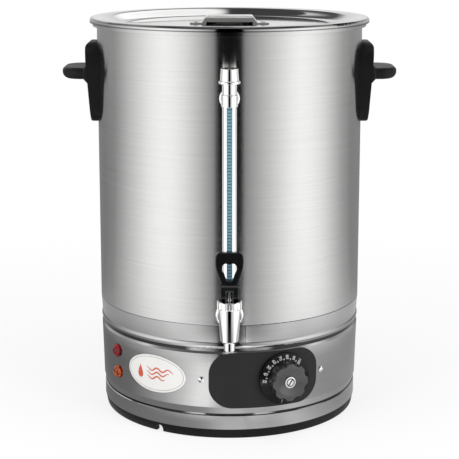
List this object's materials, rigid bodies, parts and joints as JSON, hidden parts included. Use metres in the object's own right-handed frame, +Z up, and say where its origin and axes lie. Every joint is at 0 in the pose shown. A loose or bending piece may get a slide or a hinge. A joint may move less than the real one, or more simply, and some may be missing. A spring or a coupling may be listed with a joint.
{
  "type": "hot water urn",
  "caption": "Round steel hot water urn on a skirt with a fluted thermostat knob, a lever tap under a sight gauge, wing handles and a lift-off lid.",
  "frame": {"origin": "on the surface it stands on, at the centre of the tank", "axes": "+Z up; -Y to the front, where the tap is; +X to the right, seen from the front"},
  "size_m": [0.403, 0.3983, 0.4803],
  "materials": {
    "tank_steel": "brushed around, satin",
    "skirt_steel": "brushed around, satin",
    "lid_steel": "polished pressing",
    "strap_steel": "polished",
    "inner_steel": "mill finish",
    "zinc_steel": "zinc plated",
    "foot_plastic": "fine grain",
    "bakelite": "moulded, semi-gloss",
    "panel_plastic": "moulded, satin",
    "dial_plastic": "moulded, satin, white figures",
    "grip_plastic": "moulded, satin",
    "white_plastic": "moulded",
    "grey_plastic": "moulded",
    "chrome": "bright plated",
    "brass": "turned",
    "copper": "drawn tube",
    "red_lens": "translucent, moulded",
    "orange_lens": "translucent, moulded",
    "badge_enamel": "enamelled plate",
    "scale_blue": "printed strip",
    "clear_glass": "clear tube",
    "silicone": "soft, translucent grey",
    "lever_plastic": "moulded, semi-gloss"
  },
  "bodies": {
    "urn": {"tank_wall": "tank_steel", "tank_bottom": "inner_steel", "base_skirt": "skirt_steel", "base_ring": "foot_plastic", "base_plate": "zinc_steel", "base_plate_screws": "zinc_steel", "handle_right": "bakelite", "handle_left": "bakelite", "handle_studs": "inner_steel", "handle_nuts": "zinc_steel", "control_panel": "panel_plastic", "control_bracket": "zinc_steel", "bracket_screws": "chrome", "thermostat_body": "zinc_steel", "bush_nut": "zinc_steel", "thermostat_bulb": "copper", "heating_element": "inner_steel", "element_clamp": "zinc_steel", "clamp_nut": "zinc_steel", "thermal_cutout": "white_plastic", "terminal_block": "white_plastic", "cable_gland": "grey_plastic", "gland_nut": "grey_plastic", "pilot_lens_red": "red_lens", "pilot_lens_orange": "orange_lens", "lamp_holders": "white_plastic", "badge_plate": "badge_enamel", "tap_body": "chrome", "tap_seals": "silicone", "tap_lock_nut": "brass", "tap_bonnet": "chrome", "tap_spring": "inner_steel", "gauge_lower_nut": "lever_plastic", "gauge_seals": "silicone", "gauge_glass": "clear_glass", "gauge_guard": "chrome", "gauge_scale": "scale_blue", "gauge_upper_fitting": "chrome", "gauge_cap": "chrome", "gauge_stud_nut": "brass"},
    "lid": {"lid_shell": "lid_steel", "lid_handle": "strap_steel", "lid_rivets": "strap_steel"},
    "knob": {"thermostat_shaft": "zinc_steel", "knob_dial": "dial_plastic", "knob_grip": "grip_plastic", "knob_cap": "chrome"},
    "stem": {"tap_stem": "brass", "valve_cup": "silicone", "lever_pin": "inner_steel"},
    "lever": {"tap_lever": "lever_plastic"}
  },
  "joints": [
    {"name": "lid_lift", "type": "slide", "parent": "urn", "child": "lid", "axis": [0, 0, 1], "range_m": [0, 0.12]},
    {"name": "knob_turn", "type": "hinge", "parent": "urn", "child": "knob", "pos_m": [0.06642, -0.15649, 0.0718], "axis": [-0.3907, 0.9205, 0], "range_deg": [0, 250]},
    {"name": "stem_lift", "type": "slide", "parent": "urn", "child": "stem", "axis": [0, 0, 1], "range_m": [0, 0.0034], "deforming": ["tap_spring"]},
    {"name": "lever_tilt", "type": "hinge", "parent": "stem", "child": "lever", "pos_m": [0, -0.206, 0.187], "axis": [1, 0, 0], "range_deg": [0, 80], "stiffness_Nm_per_rad": 0.03, "springref_deg": -28.65}
  ],
  "couplings": [
    {"joint": "stem_lift", "follows": "lever_tilt", "m_per_rad": 0.0024}
  ]
}
